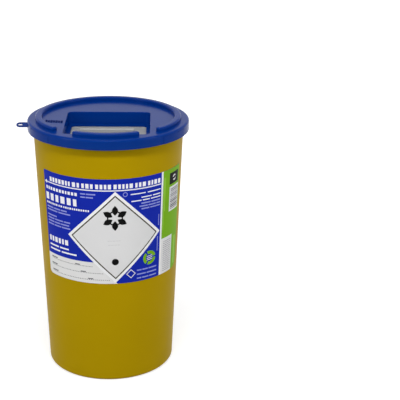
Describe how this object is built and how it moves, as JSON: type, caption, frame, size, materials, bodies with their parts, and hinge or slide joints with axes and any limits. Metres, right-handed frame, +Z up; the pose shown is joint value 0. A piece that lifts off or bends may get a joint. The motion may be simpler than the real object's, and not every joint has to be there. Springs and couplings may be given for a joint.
{
  "type": "sharps bin",
  "caption": "Round tapered bin for used medical sharps, with a press-fit lid, a rectangular drop well, a tilting closure flap and a wrap-round label.",
  "frame": {"origin": "centre of the foot ring, on the surface that the bin stands on", "axes": "+Z up along the tub's axis; -Y is the front, where the label's diamond and the flap's grip bar face; +X is to the right seen from the front"},
  "size_m": [0.196, 0.183, 0.3006],
  "materials": {
    "tub_plastic": "moulded polypropylene, fine matte",
    "lid_plastic": "moulded polypropylene, satin",
    "flap_plastic": "natural polypropylene, satin",
    "label_film": "printed film, satin"
  },
  "bodies": {
    "bin": {"tub": "tub_plastic", "lid": "lid_plastic", "label": "label_film"},
    "flap": {"closure_flap": "flap_plastic"}
  },
  "joints": [
    {"name": "flap_pivot", "type": "hinge", "parent": "bin", "child": "flap", "pos_m": [0, -0.048, 0.2768], "axis": [-1, 0, 0], "range_deg": [0, 85]}
  ]
}
